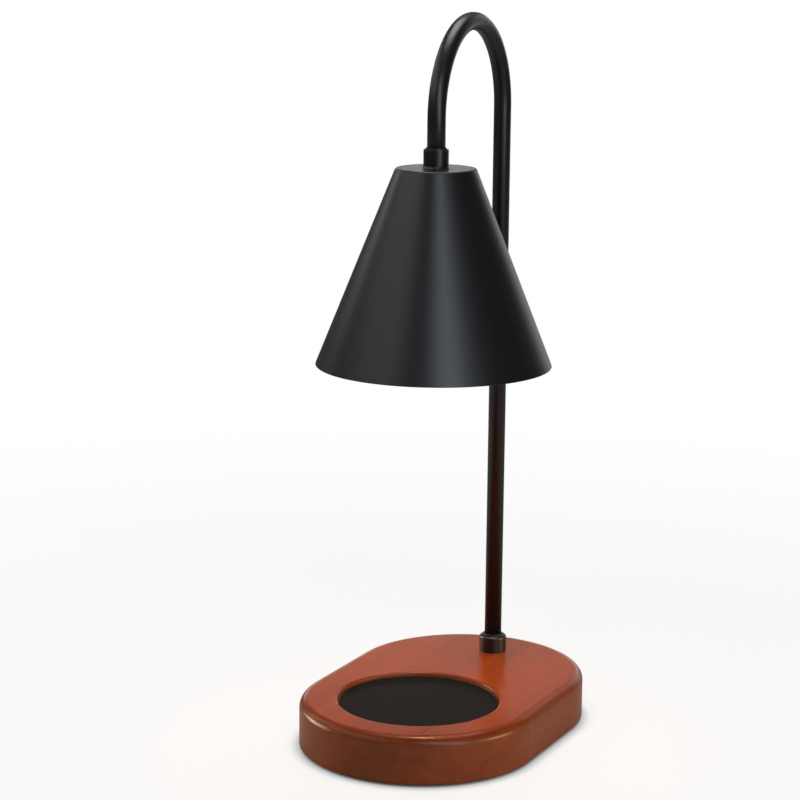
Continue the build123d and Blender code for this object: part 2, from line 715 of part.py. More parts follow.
# ---------------------------------------------------------------- lampholder
# Ceramic block with a round chamber behind its face. Two keyhole slots let the heads of the
# bulb's pins in, and their arcs lock them after a twist.
keyhole_radius = pin_head_diameter / 2 + keyhole_gap
slot_width = pin_stem_diameter + 2 * slot_gap
screw_head = holder_screw_diameter * 1.85
wire_hole_pitch = 1.1 * pin_pitch
with BuildPart() as lampholder:
    with BuildSketch(shade_plane.offset(holder_face)):
        SlotOverall(holder_length, holder_width, rotation=90)
    extrude(amount=holder_height)
    fillet(lampholder.faces().sort_by(Axis.Z)[0].edges(), holder_round)
    fillet(lampholder.faces().sort_by(Axis.Z)[-1].edges(), holder_round)
    with BuildSketch(shade_plane.offset(holder_face + holder_face_thickness)):
        Circle(holder_chamber_diameter / 2)
    extrude(amount=holder_chamber_height, mode=Mode.SUBTRACT)
    with BuildSketch(shade_plane.offset(holder_face)):
        for turn in (0, 180):
            with BuildLine():
                lock_arc = CenterArc((0, 0), pin_pitch / 2, turn, -twist_angle)
            SlotArc(lock_arc, slot_width)
            with PolarLocations(pin_pitch / 2, 1, start_angle=turn - twist_angle):
                Circle(keyhole_radius)
    extrude(amount=holder_face_thickness, mode=Mode.SUBTRACT)
    with BuildSketch(shade_plane.offset(holder_face)):
        with Locations((0, -holder_screw_pitch / 2), (0, holder_screw_pitch / 2)):
            Circle(screw_head / 2 + 0.25)
    extrude(amount=holder_screw_well, mode=Mode.SUBTRACT)
    with BuildSketch(shade_plane.offset(holder_face)):
        with Locations((0, -holder_screw_pitch / 2), (0, holder_screw_pitch / 2)):
            Circle(holder_screw_diameter / 2 + bore_gap)
    extrude(amount=holder_height, mode=Mode.SUBTRACT)
    with BuildSketch(shade_plane.offset(holder_top)):
        with Locations((-wire_hole_pitch / 2, 0), (wire_hole_pitch / 2, 0)):
            Circle(wire_diameter / 2 + 0.15)
    extrude(amount=-holder_height / 2, mode=Mode.SUBTRACT)
lampholder.part.label = "lampholder"
export_step(lampholder.part, "parts/lampholder.step")

with BuildPart() as holder_screws:
    with Locations(shade_plane.offset(holder_face + holder_screw_well)):
        with Locations((0, -holder_screw_pitch / 2), (0, holder_screw_pitch / 2)):
            add(pan_screw(holder_screw_diameter,
                          holder_height - holder_screw_well + bracket_thickness + holder_screw_tail,
                          screw_head, 0.65 * holder_screw_diameter))
holder_screws.part.label = "holder_screws"
export_step(holder_screws.part, "parts/holder_screws.step")

# Each contact is a sprung leaf over its pin, with a tail up to the end of its wire.
chamber_top = holder_face + holder_face_thickness + holder_chamber_height
pin_top = holder_face + holder_face_thickness + socket_gap + pin_head_height
leaf_thickness = 0.5
with BuildPart() as holder_contacts:
    for side in (-1, 1):
        with BuildSketch(shade_plane.offset(pin_top + socket_gap)):
            with Locations((side * pin_pitch / 2, 0)):
                Rectangle(4.0, 8.0)
        extrude(amount=leaf_thickness)
        with BuildSketch(shade_plane.offset(pin_top + socket_gap + leaf_thickness)):
            with Locations((side * wire_hole_pitch / 2, 0)):
                Rectangle(leaf_thickness, 2.4)
        extrude(amount=chamber_top - pin_top - socket_gap - leaf_thickness)
holder_contacts.part.label = "holder_contacts"
export_step(holder_contacts.part, "parts/holder_contacts.step")

# ---------------------------------------------------------------- lamp wires
# Two sleeved leads from the contacts, through the whole tube, to just above the base leads.
wire_start = chamber_top
with BuildPart() as lamp_wires:
    for side in (-1, 1):
        hole, inside = side * wire_hole_pitch / 2, side * wire_offset
        wire = rounded_route(
            [along_arm(hole, -arm_reach, wire_start),
             along_arm(hole, -arm_reach, holder_top + 2.5),
             along_arm(inside, -arm_reach, tube_end - guard_lip - 1.0),
             along_arm(inside, -arm_reach, arm_top),
             along_arm(inside, 0, arm_top),
             along_arm(inside, 0, tube_foot - guard_lip)],
            [3.0, 3.0, bend_radius, bend_radius])
        with BuildSketch(Plane(along_arm(hole, -arm_reach, wire_start))):
            Circle(wire_diameter / 2)
        sweep(path=wire.wire())
lamp_wires.part.label = "lamp_wires"
export_step(lamp_wires.part, "parts/lamp_wires.step")

# ---------------------------------------------------------------- bulb
# Reflector bulb: a ceramic cap with two headed pins, a pressed glass reflector, a front disc
# set in its lip, and the capsule that burns inside.
with BuildPart() as bulb_cap:
    with BuildSketch(shade_plane.offset(bulb_seat)):
        Circle(cap_diameter / 2)
    extrude(amount=-cap_height, taper=4)
    fillet(bulb_cap.faces().sort_by(Axis.Z)[-1].edges(), 1.0)
bulb_cap.part.label = "bulb_cap"
export_step(bulb_cap.part, "parts/bulb_cap.step")

stem_height = holder_face_thickness + 2 * socket_gap
with BuildPart() as bulb_pins:
    with BuildSketch(shade_plane.offset(bulb_seat)):
        with Locations((-pin_pitch / 2, 0), (pin_pitch / 2, 0)):
            Circle(pin_stem_diameter / 2)
    extrude(amount=stem_height)
    with BuildSketch(shade_plane.offset(bulb_seat + stem_height)):
        with Locations((-pin_pitch / 2, 0), (pin_pitch / 2, 0)):
            Circle(pin_head_diameter / 2)
    extrude(amount=pin_head_height)
    chamfer(bulb_pins.edges().filter_by(GeomType.CIRCLE).group_by(Axis.Z)[-1], 0.4)
bulb_pins.part.label = "bulb_pins"
export_step(bulb_pins.part, "parts/bulb_pins.step")

neck_top = bulb_seat - cap_height
neck_radius = 0.8 * cap_diameter / 2
lip_top = bulb_front + bulb_lip_height
glass_seat = bulb_front + bulb_glass_height
disc_radius = bulb_diameter / 2 - bulb_glass
with BuildPart() as bulb_reflector:
    with BuildSketch(section(shade_plane)):
        with BuildLine():
            outside = Bezier((neck_radius, neck_top), (0.8 * bulb_diameter / 2, neck_top - 6.0),
                             (bulb_diameter / 2 - 0.8, lip_top))
            Polyline(outside @ 1, (bulb_diameter / 2, lip_top), (bulb_diameter / 2, bulb_front),
                     (disc_radius, bulb_front), (disc_radius, glass_seat),
                     (disc_radius - 1.2, glass_seat))
            inside = Bezier((disc_radius - 1.2, glass_seat),
                            (0.8 * bulb_diameter / 2 - 1.4 * bulb_glass, neck_top - 7.6),
                            (neck_radius - 2.2, neck_top - bulb_glass))
            Polyline(inside @ 1, (capsule_diameter / 2 + 0.3, neck_top - bulb_glass),
                     (capsule_diameter / 2 + 0.3, neck_top), outside @ 0)
        make_face()
    revolve(axis=axis_of(shade_plane))
bulb_reflector.part.label = "bulb_reflector"
export_step(bulb_reflector.part, "parts/bulb_reflector.step")

with BuildPart() as bulb_front_glass:
    with BuildSketch(shade_plane.offset(glass_seat)):
        Circle(disc_radius - bore_gap)
    extrude(amount=-bulb_glass)
bulb_front_glass.part.label = "bulb_front_glass"
export_step(bulb_front_glass.part, "parts/bulb_front_glass.step")

with BuildPart() as bulb_capsule:
    with BuildSketch(shade_plane.offset(neck_top)):
        Circle(capsule_diameter / 2)
    extrude(amount=-capsule_length)
    fillet(bulb_capsule.faces().sort_by(Axis.Z)[0].edges(), 0.8 * capsule_diameter / 2)
bulb_capsule.part.label = "bulb_capsule"
export_step(bulb_capsule.part, "parts/bulb_capsule.step")
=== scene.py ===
import json
import math

import bpy
from mathutils import Matrix, Quaternion, Vector


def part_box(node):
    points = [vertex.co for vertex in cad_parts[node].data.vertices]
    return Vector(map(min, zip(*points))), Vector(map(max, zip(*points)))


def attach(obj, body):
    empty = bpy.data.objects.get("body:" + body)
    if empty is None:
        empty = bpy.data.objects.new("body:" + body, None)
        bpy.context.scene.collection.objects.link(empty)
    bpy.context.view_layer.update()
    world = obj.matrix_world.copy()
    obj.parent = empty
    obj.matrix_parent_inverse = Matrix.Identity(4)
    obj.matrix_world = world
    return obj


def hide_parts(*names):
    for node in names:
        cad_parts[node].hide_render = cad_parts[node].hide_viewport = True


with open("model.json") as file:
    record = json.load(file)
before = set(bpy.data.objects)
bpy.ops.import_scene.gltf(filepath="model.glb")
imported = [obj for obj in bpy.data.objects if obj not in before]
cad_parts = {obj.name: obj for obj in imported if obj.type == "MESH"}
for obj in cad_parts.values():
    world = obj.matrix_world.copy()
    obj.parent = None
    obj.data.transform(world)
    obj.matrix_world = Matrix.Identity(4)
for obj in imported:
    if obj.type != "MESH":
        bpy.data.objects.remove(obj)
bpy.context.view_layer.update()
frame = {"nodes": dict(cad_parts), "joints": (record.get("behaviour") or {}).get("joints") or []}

nodes = frame["nodes"]

# ---------------------------------------------------------------- wood base
# One block of rubberwood, shaped and rounded on a router, stained red-brown and sprayed with
# satin varnish. Every other piece of the lamp's foot is let into it or screwed to it.


def linear(colour):
    """sRGB hex to the linear RGBA of Blender's sockets."""
    levels = [int(colour[i:i + 2], 16) / 255 for i in (1, 3, 5)]
    return [v / 12.92 if v <= 0.04045 else ((v + 0.055) / 1.055) ** 2.4 for v in levels] + [1.0]


def add_node(tree, kind, inputs=None, **settings):
    """Adds one node with its settings, and links or sets its inputs by name or number."""
    made = tree.nodes.new(kind)
    for name, value in settings.items():
        setattr(made, name, value)
    for name, value in (inputs or {}).items():
        if isinstance(value, bpy.types.NodeSocket):
            tree.links.new(value, made.inputs[name])
        else:
            made.inputs[name].default_value = value
    return made


def start_material(name, values):
    """A new material; returns it, its tree, its Principled shader and the Object coordinates."""
    material = bpy.data.materials.new(name)
    material.use_nodes = True
    tree = material.node_tree
    tree.nodes.clear()
    shader = add_node(tree, "ShaderNodeBsdfPrincipled", values)
    add_node(tree, "ShaderNodeOutputMaterial", {"Surface": shader.outputs[0]})
    place = add_node(tree, "ShaderNodeTexCoord").outputs["Object"]
    return material, tree, shader, place


def dress(material, *names):
    """Gives CAD nodes a material in the slot they came with."""
    for name in names:
        nodes[name].material_slots[0].material = material


# Stained rubberwood under satin varnish. The stain hides nearly all figure: what is left is a
# slow change along the board, fine darker pores and a soft gloss. Upright faces are given a
# browner colour than the top, and every rounding gets painted shade, darker by its facing.
# The pores are drawn 0.5 mm wide, twice their real width, so that they show, and
# both patterns run twenty times as long as wide.
wood_figure, wood_pore, wood_stretch = 0.011, 0.0005, 1 / 20
top_stain, side_stain = ("#8C3C0F", "#A54813"), ("#804122", "#924B2B")
varnished_wood, tree, shader, place = start_material("stained_rubberwood_satin_varnish", {
    "IOR": 1.5, "Specular IOR Level": 0.3})
board = add_node(tree, "ShaderNodeMapping", {"Vector": place, "Scale": (1, wood_stretch, 1)})
figure = add_node(tree, "ShaderNodeTexNoise", {
    "Vector": board.outputs[0], "Scale": 1 / wood_figure, "Detail": 5, "Roughness": 0.55,
    "Distortion": 0.7})
stains = []
for dark_stain, light_stain in (top_stain, side_stain):
    stain = add_node(tree, "ShaderNodeValToRGB", {"Fac": figure.outputs["Fac"]})
    stain.color_ramp.elements[0].position, stain.color_ramp.elements[1].position = 0.32, 0.72
    stain.color_ramp.elements[0].color = linear(dark_stain)
    stain.color_ramp.elements[1].color = linear(light_stain)
    stains.append(stain.outputs["Color"])
pores = add_node(tree, "ShaderNodeTexNoise", {
    "Vector": board.outputs[0], "Scale": 1 / wood_pore, "Detail": 2})
pore_depth = add_node(tree, "ShaderNodeMapRange", {
    "Value": pores.outputs["Fac"], "From Min": 0.36, "From Max": 0.5, "To Min": 0.78, "To Max": 1})
uphill = add_node(tree, "ShaderNodeSeparateXYZ", {
    "Vector": add_node(tree, "ShaderNodeNewGeometry").outputs["Normal"]})
# Faces turned upright take the browner colour and the top takes the redder one, chosen by facing alone.
upright = add_node(tree, "ShaderNodeMapRange", {
    "Value": uphill.outputs["Z"], "From Min": 0.25, "From Max": 0.75, "To Min": 1, "To Max": 0})
browned = add_node(tree, "ShaderNodeMix", {
    "Factor": upright.outputs[0], 6: stains[0], 7: stains[1]}, data_type="RGBA")
# Painted shade: roundings between the flat top and the upright sides are darkened by their facing.
shading = add_node(tree, "ShaderNodeValToRGB", {"Fac": uphill.outputs["Z"]})
for position, tone in ((0.3, 0.86), (0.75, 0.56), (0.96, 0.66)):
    shading.color_ramp.elements.new(position).color = (tone, tone, tone, 1)
shading.color_ramp.elements[0].color = (1, 1, 1, 1)
shade_and_pores = add_node(tree, "ShaderNodeMath", {
    0: shading.outputs["Color"], 1: pore_depth.outputs[0]}, operation="MULTIPLY")
darkened = add_node(tree, "ShaderNodeMix", {
    "Factor": 1.0, 6: browned.outputs[2], 7: shade_and_pores.outputs[0]},
    data_type="RGBA", blend_type="MULTIPLY")
tree.links.new(darkened.outputs[2], shader.inputs["Base Color"])
haze = add_node(tree, "ShaderNodeMapRange", {
    "Value": figure.outputs["Fac"], "To Min": 0.25, "To Max": 0.33})
tree.links.new(haze.outputs[0], shader.inputs["Roughness"])
relief = add_node(tree, "ShaderNodeBump", {
    "Height": pores.outputs["Fac"], "Strength": 0.12, "Distance": 0.00004})
tree.links.new(relief.outputs[0], shader.inputs["Normal"])
dress(varnished_wood, "wood_base")

# ---------------------------------------------------------------- seat mat
# A thin round mat of black silicone, die cut and laid on the floor of the candle seat. It keeps
# the jar from sliding and the warm glass off the varnish.


def raise_grain(made, size, strength, depth, detail=2):
    """Raises an even random grain, so wide and so deep, on the surface of a new material."""
    material, tree, shader, place = made
    grain = add_node(tree, "ShaderNodeTexNoise", {"Vector": place, "Scale": 1 / size, "Detail": detail})
    relief = add_node(tree, "ShaderNodeBump", {
        "Height": grain.outputs["Fac"], "Strength": strength, "Distance": depth})
    tree.links.new(relief.outputs[0], shader.inputs["Normal"])
    return material


# Black silicone rubber: dry and dull, with the fine sandblasted skin of its sheet.
silicone_skin = 0.0007
black_silicone = raise_grain(start_material("matte_black_silicone", {
    "Base Color": linear("#0B0A09"), "Roughness": 0.72, "IOR": 1.41, "Specular IOR Level": 0.2}),
    silicone_skin, 0.25, 0.00008, detail=3)
dress(black_silicone, "seat_mat")

# ---------------------------------------------------------------- pad, cover plate and screws
# The underside: a black foam pad that the lamp stands on, glued over a zinc-plated steel plate
# that closes the wiring pocket and is held by four countersunk wood screws.

# Closed-cell foam: dark grey and dry, with cut cells all over its face.
foam_cell = 0.0006
black_foam, tree, shader, place = start_material("closed_cell_black_foam", {
    "Base Color": linear("#232324"), "Roughness": 0.9, "IOR": 1.45})
cells = add_node(tree, "ShaderNodeTexVoronoi", {"Vector": place, "Scale": 1 / foam_cell})
relief = add_node(tree, "ShaderNodeBump", {
    "Height": cells.outputs["Distance"], "Strength": 0.6, "Distance": 0.00015})
tree.links.new(relief.outputs[0], shader.inputs["Normal"])
dress(black_foam, "base_pad")


def vary_gloss(made, size, low, high, detail=2, stretch=(1, 1, 1)):
    """Lets the roughness of a new material wander between two values in marks of a size."""
    material, tree, shader, place = made
    drawn = add_node(tree, "ShaderNodeMapping", {"Vector": place, "Scale": stretch})
    marks = add_node(tree, "ShaderNodeTexNoise", {
        "Vector": drawn.outputs[0], "Scale": 1 / size, "Detail": detail})
    blur = add_node(tree, "ShaderNodeMapRange", {
        "Value": marks.outputs["Fac"], "To Min": low, "To Max": high})
    tree.links.new(blur.outputs[0], shader.inputs["Roughness"])
    return material


# Bright zinc plate: a pale blue-grey metal with a faint yellow bloom from its passivation, and
# rolling marks, long in X, that soften its gloss.
zinc_bloom, rolling_mark = 0.012, 0.0004
made = start_material("bright_zinc_plated_steel", {"Metallic": 1.0})
zinc_plate = vary_gloss(made, rolling_mark, 0.26, 0.44, stretch=(1 / 20, 1, 1))
_, tree, shader, place = made
bloom = add_node(tree, "ShaderNodeTexNoise", {"Vector": place, "Scale": 1 / zinc_bloom, "Detail": 3})
tone = add_node(tree, "ShaderNodeValToRGB", {"Fac": bloom.outputs["Fac"]})
tone.color_ramp.elements[0].position, tone.color_ramp.elements[1].position = 0.35, 0.7
tone.color_ramp.elements[0].color = linear("#B4B9BF")
tone.color_ramp.elements[1].color = linear("#C6C1AE")
tree.links.new(tone.outputs["Color"], shader.inputs["Base Color"])
dress(zinc_plate, "cover_plate", "cover_screws")


def start_tree(name, sockets):
    """A Geometry Nodes tree with named inputs; returns it and its input node's outputs."""
    tree = bpy.data.node_groups.new(name, "GeometryNodeTree")
    kinds = {"Geometry": "NodeSocketGeometry", "length": "NodeSocketFloat",
             "count": "NodeSocketInt", "finish": "NodeSocketMaterial"}
    tree.interface.new_socket("Geometry", in_out="INPUT", socket_type=kinds["Geometry"])
    for socket, kind in sockets.items():
        tree.interface.new_socket(socket, in_out="INPUT", socket_type=kinds[kind])
    tree.interface.new_socket("Geometry", in_out="OUTPUT", socket_type=kinds["Geometry"])
    return tree, add_node(tree, "NodeGroupInput").outputs


def grow(name, tree, values, points, edges=()):
    """Runs a tree on a few points and lines, and keeps the result as a plain mesh object."""
    crease = math.radians(38)
    seed_mesh = bpy.data.meshes.new(name)
    seed_mesh.from_pydata([Vector(p) for p in points], list(edges), [])
    seed = bpy.data.objects.new(name + "_seed", seed_mesh)
    bpy.context.scene.collection.objects.link(seed)
    modifier = seed.modifiers.new(tree.name, "NODES")
    modifier.node_group = tree
    for socket in tree.interface.items_tree:
        if socket.in_out == "INPUT" and socket.name in values:
            modifier[socket.identifier] = values[socket.name]
    graph = bpy.context.evaluated_depsgraph_get()
    mesh = bpy.data.meshes.new_from_object(seed.evaluated_get(graph))
    seed.modifiers.remove(modifier)
    bpy.data.objects.remove(seed)
    mesh.name = name
    mesh.set_sharp_from_angle(angle=crease)
    piece = bpy.data.objects.new(name, mesh)
    bpy.context.scene.collection.objects.link(piece)
    return piece


# Rolled threads and coils: one wire wound round an upright core on each point, its ends run out.
thread_tree, given = start_tree("wound_wire", {
    "Shank Radius": "length", "Ridge": "length", "Pitch": "length", "Length": "length",
    "Finish": "finish"})
turns = add_node(thread_tree, "ShaderNodeMath", {0: given["Length"], 1: given["Pitch"]},
                 operation="DIVIDE")
helix = add_node(thread_tree, "GeometryNodeCurveSpiral", {
    "Resolution": 20, "Rotations": turns.outputs[0], "Start Radius": given["Shank Radius"],
    "End Radius": given["Shank Radius"], "Height": given["Length"]})
along = add_node(thread_tree, "GeometryNodeSplineParameter")
middle = add_node(thread_tree, "ShaderNodeMath", {0: along.outputs["Factor"], 1: 0.5},
                  operation="SUBTRACT")
off_middle = add_node(thread_tree, "ShaderNodeMath", {0: middle.outputs[0]}, operation="ABSOLUTE")
run_out = add_node(thread_tree, "ShaderNodeMapRange", {
    "Value": off_middle.outputs[0], "From Min": 0.44, "From Max": 0.5, "To Min": 1, "To Max": 0.1})
tapered = add_node(thread_tree, "GeometryNodeSetCurveRadius", {
    "Curve": helix.outputs[0], "Radius": run_out.outputs[0]})
ridge = add_node(thread_tree, "GeometryNodeCurvePrimitiveCircle", {
    "Resolution": 4, "Radius": given["Ridge"]})
wound = add_node(thread_tree, "GeometryNodeCurveToMesh", {
    "Curve": tapered.outputs[0], "Profile Curve": ridge.outputs[0], "Scale": run_out.outputs[0],
    "Fill Caps": True})
placed = add_node(thread_tree, "GeometryNodeInstanceOnPoints", {
    "Points": given["Geometry"], "Instance": wound.outputs[0]})
real = add_node(thread_tree, "GeometryNodeRealizeInstances", {"Geometry": placed.outputs[0]})
finished = add_node(thread_tree, "GeometryNodeSetMaterial", {
    "Geometry": real.outputs[0], "Material": given["Finish"]})
add_node(thread_tree, "NodeGroupOutput", {"Geometry": finished.outputs[0]})

screw_low, screw_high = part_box("cover_screws")
screw_head_radius, screw_point = 0.0031, 0.0017
screw_rows = [(x, y) for x in (screw_low.x + screw_head_radius, screw_high.x - screw_head_radius)
              for y in (screw_low.y + screw_head_radius, screw_high.y - screw_head_radius)]
cover_threads = grow("cover_screw_threads", thread_tree, {
    "Shank Radius": 0.0016, "Ridge": 0.0003, "Pitch": 0.0013, "Length": 0.0088,
    "Finish": zinc_plate}, [(x, y, screw_low.z + screw_point) for x, y in screw_rows])
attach(cover_threads, "base")

# ---------------------------------------------------------------- swivel in the base
# A turned brass bush is clamped through the deck by its nut. Under it the tube carries a nylon
# thrust washer, and a spring washer, the notched stop washer and a lock nut, all zinc plated.

# Turned brass: a warm yellow metal with fine lathe marks round its axis. One turn of the wave
# texture is 0.314 of its unit long.
lathe_mark, wave_turn = 0.00025, 0.314
turned_brass, tree, shader, place = start_material("turned_brass", {
    "Base Color": linear("#C39A52"), "Metallic": 1.0, "Roughness": 0.3})
grooves = add_node(tree, "ShaderNodeTexWave", {
    "Vector": place, "Scale": wave_turn / lathe_mark, "Distortion": 0.6},
    wave_type="BANDS", bands_direction="Z")
relief = add_node(tree, "ShaderNodeBump", {
    "Height": grooves.outputs["Fac"], "Strength": 0.15, "Distance": 0.00002})
tree.links.new(relief.outputs[0], shader.inputs["Normal"])
dress(turned_brass, "swivel_bush", "bush_nut")
dress(zinc_plate, "stop_plate", "stop_pin", "stop_washer", "spring_washer", "lock_nut")

# Moulded nylon: milky and slightly waxy, with the fine spark-eroded grain of its mould.
mould_grain = 0.0004
white_nylon = raise_grain(start_material("moulded_natural_nylon", {
    "Base Color": linear("#E6E2D8"), "Roughness": 0.5, "IOR": 1.53, "Subsurface Weight": 0.08,
    "Subsurface Radius": (0.001, 0.001, 0.001)}), mould_grain, 0.2, 0.00004)
dress(white_nylon, "thrust_washer")

# ---------------------------------------------------------------- cord bush and wiring
# The moulded bush in the rear wall, the two-pole terminal block screwed to the pocket's
# ceiling with its brass screws, and the sleeved leads that run from it to the foot of the pole.

# Black nylon: the same moulding in dyed stock, a dark grey with a dull, even gloss.
black_nylon = raise_grain(start_material("moulded_black_nylon", {
    "Base Color": linear("#1D1D1F"), "Roughness": 0.48, "IOR": 1.53}), mould_grain, 0.3, 0.00005)
dress(black_nylon, "cord_bush")
dress(white_nylon, "terminal_block")
dress(turned_brass, "terminal_screws")
dress(zinc_plate, "block_screw")

# Woven glass sleeve: off-white and dry, with a crossed braid 0.5 mm wide.
braid_width = 0.0005
glass_sleeve, tree, shader, place = start_material("woven_glass_sleeve", {
    "Base Color": linear("#D9D4C6"), "Roughness": 0.75, "IOR": 1.5, "Sheen Weight": 0.15})
strands = []
for lean in (0.9, -0.9):
    leaning = add_node(tree, "ShaderNodeMapping", {"Vector": place, "Rotation": (lean, lean, 0)})
    strands.append(add_node(tree, "ShaderNodeTexWave", {
        "Vector": leaning.outputs[0], "Scale": wave_turn / braid_width}, bands_direction="Z"))
crossed = add_node(tree, "ShaderNodeMath", {
    0: strands[0].outputs["Fac"], 1: strands[1].outputs["Fac"]}, operation="MAXIMUM")
relief = add_node(tree, "ShaderNodeBump", {
    "Height": crossed.outputs[0], "Strength": 0.5, "Distance": 0.0001})
tree.links.new(relief.outputs[0], shader.inputs["Normal"])
dress(glass_sleeve, "base_leads", "lamp_wires")

# ---------------------------------------------------------------- arm tube
# Pole and gooseneck are one steel tube, 10 mm by 1 mm, bent over a half-round former and powder
# coated. Both ends are threaded: the foot for the swivel's lock nut, the other for the shade.
tube_radius, tube_wall, arm_reach, rest_swing = 0.005, 0.001, 0.101, math.radians(3.8)
thread_tail = 0.0007  # how far the tube stands out of a nut

# Fine matte powder coat on steel: deep black with a slight blue cast, dulled by the grain of
# the fused powder, which is drawn 0.6 mm wide so that it shows.
powder_grain, powder_wave = 0.0006, 0.004
black_powder, tree, shader, place = start_material("matte_black_powder_coat", {
    "Base Color": linear("#060708"), "Roughness": 0.36, "IOR": 1.6})
grain = add_node(tree, "ShaderNodeTexNoise", {
    "Vector": place, "Scale": 1 / powder_grain, "Detail": 3, "Roughness": 0.6})
wave = add_node(tree, "ShaderNodeTexNoise", {"Vector": place, "Scale": 1 / powder_wave, "Detail": 1})
skin = add_node(tree, "ShaderNodeMath", {
    0: wave.outputs["Fac"], 1: 0.6, 2: grain.outputs["Fac"]}, operation="MULTIPLY_ADD")
relief = add_node(tree, "ShaderNodeBump", {
    "Height": skin.outputs[0], "Strength": 0.35, "Distance": 0.00006})
tree.links.new(relief.outputs[0], shader.inputs["Normal"])
sparkle = add_node(tree, "ShaderNodeMapRange", {
    "Value": grain.outputs["Fac"], "To Min": 0.3, "To Max": 0.42})
tree.links.new(sparkle.outputs[0], shader.inputs["Roughness"])

tube_low, tube_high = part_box("arm_tube")
pole = Vector((*frame["joints"][0]["pos_m"][:2], 0))
towards_shade = Vector((math.sin(rest_swing), -math.cos(rest_swing), 0))
tube_tree, given = start_tree("bent_tube", {
    "Radius": "length", "Sides": "count", "Bend Radius": "length", "Bend Steps": "count",
    "Finish": "finish"})
corners = add_node(tube_tree, "GeometryNodeMeshToCurve", {"Mesh": given["Geometry"]})
bent = add_node(tube_tree, "GeometryNodeFilletCurve", {
    "Curve": corners.outputs[0], "Radius": given["Bend Radius"], "Count": given["Bend Steps"]},
    mode="POLY")
round_bar = add_node(tube_tree, "GeometryNodeCurvePrimitiveCircle", {
    "Resolution": given["Sides"], "Radius": given["Radius"]})
swept = add_node(tube_tree, "GeometryNodeCurveToMesh", {
    "Curve": bent.outputs[0], "Profile Curve": round_bar.outputs[0], "Fill Caps": False})
soft = add_node(tube_tree, "GeometryNodeSetShadeSmooth", {"Geometry": swept.outputs[0]})
real = add_node(tube_tree, "GeometryNodeRealizeInstances", {"Geometry": soft.outputs[0]})
finished = add_node(tube_tree, "GeometryNodeSetMaterial", {
    "Geometry": real.outputs[0], "Material": given["Finish"]})
add_node(tube_tree, "NodeGroupOutput", {"Geometry": finished.outputs[0]})

# The tube's line has square corners, which the tree rounds into two quarter bends that meet.
# A short straight between them keeps their end points apart.
bend_straight = 0.0002
arm_top = tube_high.z - tube_radius
shade_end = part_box("bracket_nut")[0].z - thread_tail
over_seat = pole + towards_shade * arm_reach
tube_line = [pole + Vector((0, 0, tube_low.z)), pole + Vector((0, 0, arm_top)),
             over_seat + Vector((0, 0, arm_top)), over_seat + Vector((0, 0, shade_end))]
arm_tube = grow("bent_arm_tube", tube_tree, {
    "Radius": tube_radius, "Sides": 64, "Bend Radius": (arm_reach - bend_straight) / 2,
    "Bend Steps": 48, "Finish": black_powder}, tube_line, [(0, 1), (1, 2), (2, 3)])
wall = arm_tube.modifiers.new("wall", "SOLIDIFY")
wall.thickness, wall.offset, wall.use_even_offset = tube_wall, -1, True
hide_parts("arm_tube")
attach(arm_tube, "arm")

thread_start = Vector((0, 0, 0.0002))
tube_threads = grow("tube_threads", thread_tree, {
    "Shank Radius": tube_radius - 0.0002, "Ridge": 0.0004, "Pitch": 0.001, "Length": 0.0062,
    "Finish": black_powder}, [tube_line[0] + thread_start, tube_line[3] + thread_start])
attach(tube_threads, "arm")
dress(white_nylon, "tube_grommets")

# ---------------------------------------------------------------- collars on the tube
# Two turned steel rings, powder coated like the tube. The lower one rests on the bush and is
# held by a black grub screw, and the upper one covers the joint of tube and shade.
dress(black_powder, "base_collar", "shade_collar")

# Black oxide steel: a dark grey metal whose oil leaves glossier patches.
oil_patch = 0.0008
black_oxide = vary_gloss(start_material("black_oxide_steel", {
    "Base Color": linear("#2B2B2D"), "Metallic": 0.9}), oil_patch, 0.3, 0.5, detail=3)
dress(black_oxide, "collar_screw")

# ---------------------------------------------------------------- shade
# One steel disc spun into a cone with a flat top, powder coated black outside and white inside,
# so that the light goes down. The tube's thread passes its top.
shade_low, shade_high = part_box("shade")
shade_axis = Vector(((shade_low.x + shade_high.x) / 2, (shade_low.y + shade_high.y) / 2, 0))
rim_radius, top_radius, bore_radius, shade_wall = 0.065, 0.022, 0.00505, 0.001
top_round, edge_round = 0.0012, 0.0003

# Satin white powder coat: a warm white that scatters the bulb's light, with the same fused grain.
white_powder = raise_grain(start_material("satin_white_powder_coat", {
    "Base Color": linear("#E9E7E1"), "Roughness": 0.45, "IOR": 1.5}),
    powder_grain, 0.3, 0.00006, detail=3)

# Spun or turned work: a closed outline in radius and height goes once round the axis. Faces
# that look down, above the rim, take the inside finish.
turned_tree, given = start_tree("turned_outline", {
    "Segments": "count", "Hub": "length", "Rim Height": "length", "Finish": "finish",
    "Inside Finish": "finish"})
outline = add_node(turned_tree, "GeometryNodeMeshToCurve", {"Mesh": given["Geometry"]})
once_round = add_node(turned_tree, "GeometryNodeCurvePrimitiveCircle", {
    "Resolution": given["Segments"], "Radius": given["Hub"]})
swept = add_node(turned_tree, "GeometryNodeCurveToMesh", {
    "Curve": once_round.outputs[0], "Profile Curve": outline.outputs[0]})
soft = add_node(turned_tree, "GeometryNodeSetShadeSmooth", {"Geometry": swept.outputs[0]})
real = add_node(turned_tree, "GeometryNodeRealizeInstances", {"Geometry": soft.outputs[0]})
coated = add_node(turned_tree, "GeometryNodeSetMaterial", {
    "Geometry": real.outputs[0], "Material": given["Finish"]})
facing = add_node(turned_tree, "ShaderNodeSeparateXYZ", {
    "Vector": add_node(turned_tree, "GeometryNodeInputNormal").outputs[0]})
standing = add_node(turned_tree, "ShaderNodeSeparateXYZ", {
    "Vector": add_node(turned_tree, "GeometryNodeInputPosition").outputs[0]})
looks_down = add_node(turned_tree, "ShaderNodeMath", {0: facing.outputs["Z"], 1: -0.3},
                      operation="LESS_THAN")
